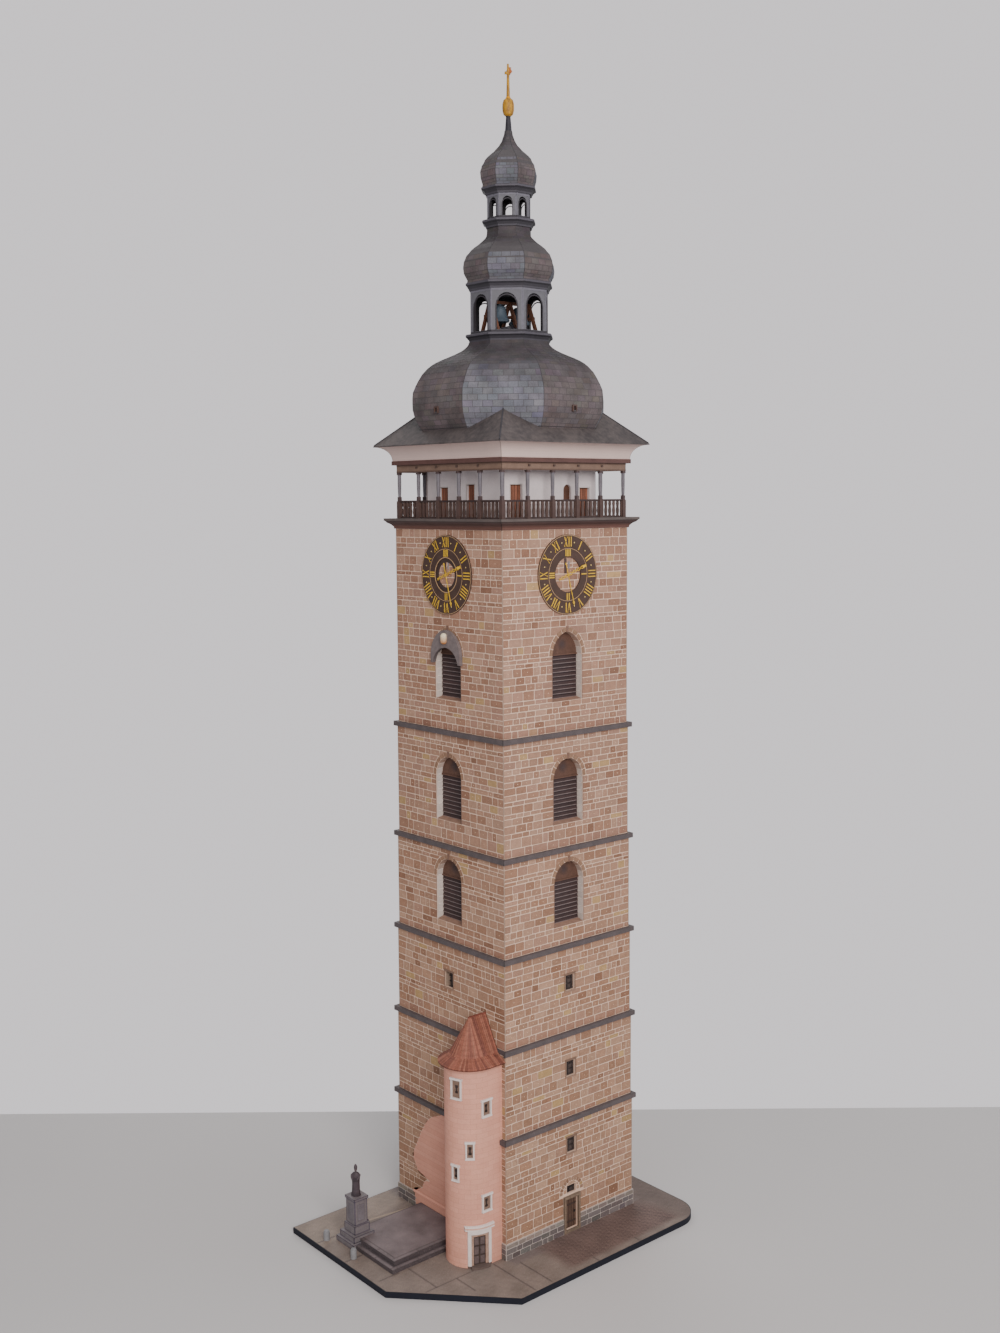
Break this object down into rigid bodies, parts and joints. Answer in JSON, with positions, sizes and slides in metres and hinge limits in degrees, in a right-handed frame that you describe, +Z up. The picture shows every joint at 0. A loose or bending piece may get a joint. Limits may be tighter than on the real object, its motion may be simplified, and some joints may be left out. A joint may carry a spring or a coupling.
{
  "type": "card model of a clock tower",
  "caption": "Card scale model of a square stone clock tower with a stair turret, an open gallery and a stack of onion domes, on its own base board.",
  "frame": {"origin": "tower axis at the underside of the base board", "axes": "+Z up; the front wall with the door faces -Y; the stair turret is on the -X wall"},
  "size_m": [0.142, 0.1055, 0.4842],
  "materials": {
    "board_edge": "matt blue-black board with a printed top",
    "paving": "matt printed grey-brown paving",
    "pedestal_stone": "matt printed grey stone",
    "dark_figure": "matt dark bronze-brown print",
    "pale_post": "matt pale grey",
    "sandstone": "matt printed pink-tan block masonry",
    "plinth_stone": "matt printed grey block masonry",
    "dark_moulding": "matt dark grey-brown",
    "pale_reveal": "matt pale stone print",
    "louvre": "matt dark brown print with grey slat edges",
    "slit": "matt stone reveal with a dark back",
    "door_stone": "matt printed stone",
    "door_brown": "matt brown print",
    "dial": "matt black print with gold numbers",
    "gold": "matt gold paint",
    "lead": "matt lead grey",
    "pink_plaster": "matt printed pink plaster",
    "red_tile": "matt printed red tiles",
    "white_frame": "matt white",
    "pane": "matt dark window print",
    "brown_wood": "matt brown timber print",
    "white_wall": "matt off-white",
    "post_grey": "matt grey-brown",
    "cove_white": "matt pinkish white",
    "slate": "matt printed grey sheet roofing",
    "lantern_grey": "matt blue-grey",
    "bell_blue": "matt blue-grey",
    "spire_dark": "matt blue-black"
  },
  "bodies": {
    "root": {"base_board": "board_edge", "terrace": "paving", "statue_pedestal": "pedestal_stone", "statue": "dark_figure", "step_ornament": "dark_figure", "bollards": "pale_post", "plinth": "plinth_stone", "front_wall": "sandstone", "left_wall": "sandstone", "back_wall": "sandstone", "right_wall": "sandstone", "string_courses": "dark_moulding", "belfry_reveals": "pale_reveal", "belfry_louvres": "louvre", "slit_windows": "slit", "front_door_frame": "door_stone", "front_door": "door_brown", "clock_dials": "dial", "clock_hands": "gold", "window_hood": "lead", "hood_bell": "gold", "turret_wall": "pink_plaster", "turret_roof": "red_tile", "turret_door_frame": "white_frame", "turret_door": "door_brown", "turret_windows": "white_frame", "turret_panes": "pane", "gallery_cornice": "brown_wood", "gallery_deck": "brown_wood", "lodge_walls": "white_wall", "lodge_doors": "door_brown", "gallery_posts": "post_grey", "gallery_railing": "brown_wood", "gallery_beam": "brown_wood", "eaves_cove": "cove_white", "skirt_roof": "slate", "lower_dome": "slate", "bell_lantern": "lantern_grey", "bell_frame": "brown_wood", "bells": "bell_blue", "lantern_cornices": "lantern_grey", "middle_dome": "slate", "top_lantern": "lantern_grey", "top_dome": "slate", "spire_tip": "spire_dark", "finial": "gold"}
  },
  "joints": []
}
